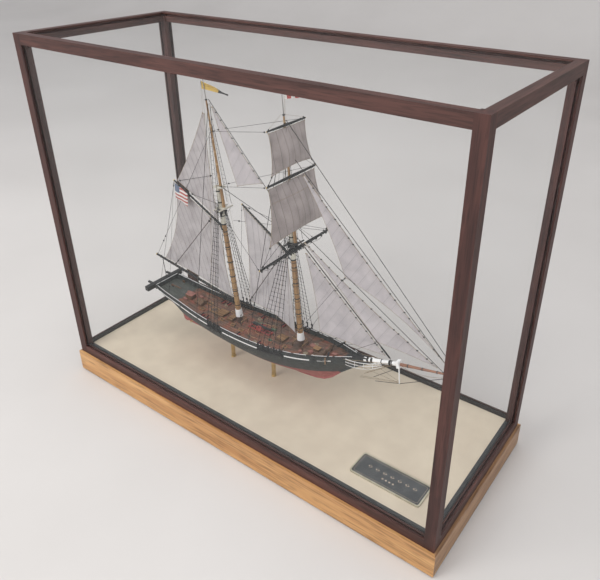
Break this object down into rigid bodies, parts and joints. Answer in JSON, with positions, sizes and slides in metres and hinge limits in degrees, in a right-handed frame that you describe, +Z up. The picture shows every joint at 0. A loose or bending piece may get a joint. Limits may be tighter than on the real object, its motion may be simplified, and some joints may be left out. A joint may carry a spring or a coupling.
{
  "type": "model sailing ship",
  "caption": "Rigged two-masted topsail schooner model on brass pedestals, in a lift-off glazed wooden display case with a plinth.",
  "frame": {"origin": "centre of the underside of the plinth feet", "axes": "+X towards the bow and along the case, +Y to port and to the back of the case, +Z up"},
  "size_m": [0.708, 0.284, 0.583],
  "materials": {
    "oak": "oiled honey oak",
    "walnut": "satin dark walnut",
    "board": "matt cream paint",
    "border": "matt dark grey paint",
    "felt": "felt",
    "plate": "satin black enamel",
    "brass": "polished",
    "glass": "clear",
    "bead": "black",
    "hull_paint": "satin black and dull red paint",
    "deck_wood": "stained planking",
    "white_paint": "satin white paint",
    "mast_wood": "varnished",
    "black_spar": "black stain",
    "sailcloth": "fine cotton",
    "square_sailcloth": "fine cotton, taupe",
    "flag_cloth": "printed cotton",
    "rigging": "waxed thread",
    "gun_iron": "black",
    "red_paint": "satin red paint",
    "fitting_wood": "varnished"
  },
  "bodies": {
    "base_and_ship": {"plinth_long_rails": "oak", "plinth_end_rails": "oak", "plinth_panel": "oak", "plinth_feet": "felt", "baseboard": "board", "board_border": "border", "nameplate": "plate", "nameplate_frame": "brass", "pedestals": "brass", "hull": "hull_paint", "keel": "hull_paint", "deck": "deck_wood", "bulwarks": "hull_paint", "cap_rail": "hull_paint", "hull_stripes": "white_paint", "channels": "black_spar", "stern_beam": "hull_paint", "catheads": "black_spar", "gudgeons": "brass", "fore_lower_mast": "mast_wood", "fore_topmast": "mast_wood", "main_lower_mast": "mast_wood", "main_topmast": "mast_wood", "mast_caps": "black_spar", "mast_collars": "white_paint", "bowsprit": "white_paint", "jib_boom": "mast_wood", "dolphin_striker": "white_paint", "main_boom": "black_spar", "gaffs": "black_spar", "yards": "black_spar", "mainsail": "sailcloth", "main_gaff_topsail": "sailcloth", "main_staysail": "sailcloth", "foresail": "sailcloth", "fore_topsail": "square_sailcloth", "fore_topgallant": "square_sailcloth", "fore_staysail": "sailcloth", "jib": "sailcloth", "flying_jib": "sailcloth", "flags": "flag_cloth", "shrouds": "rigging", "ratlines": "rigging", "stays": "rigging", "running_rigging": "rigging", "deadeyes": "black_spar", "hatches": "fitting_wood", "windlass_bitts": "fitting_wood"},
    "cover": {"cover_posts": "walnut", "cover_long_rails": "walnut", "cover_end_rails": "walnut", "glass_long_panes": "glass", "glass_end_panes": "glass", "glass_top": "glass", "glazing_beads": "bead"},
    "rudder": {"rudder": "hull_paint", "tiller": "fitting_wood"},
    "gun_slide": {"gun_slide": "red_paint"},
    "gun_barrel": {"gun_barrel": "gun_iron"},
    "windlass": {"windlass_barrel": "fitting_wood"}
  },
  "joints": [
    {"name": "cover_lift", "type": "slide", "parent": "base_and_ship", "child": "cover", "axis": [0, 0, 1], "range_m": [0, 0.6]},
    {"name": "rudder_swing", "type": "hinge", "parent": "base_and_ship", "child": "rudder", "pos_m": [-0.2112, 0, 0.084], "axis": [-0.527, 0, 0.8499], "range_deg": [-30, 30]},
    {"name": "gun_traverse", "type": "hinge", "parent": "base_and_ship", "child": "gun_slide", "pos_m": [-0.042, 0, 0.13117], "axis": [0, 0, 1], "continuous": true},
    {"name": "gun_elevation", "type": "hinge", "parent": "gun_slide", "child": "gun_barrel", "pos_m": [-0.042, 0, 0.1411], "axis": [0, -1, 0], "range_deg": [-2, 10]},
    {"name": "windlass_turn", "type": "hinge", "parent": "base_and_ship", "child": "windlass", "pos_m": [0.092, 0, 0.15141], "axis": [0, 1, 0], "continuous": true}
  ]
}
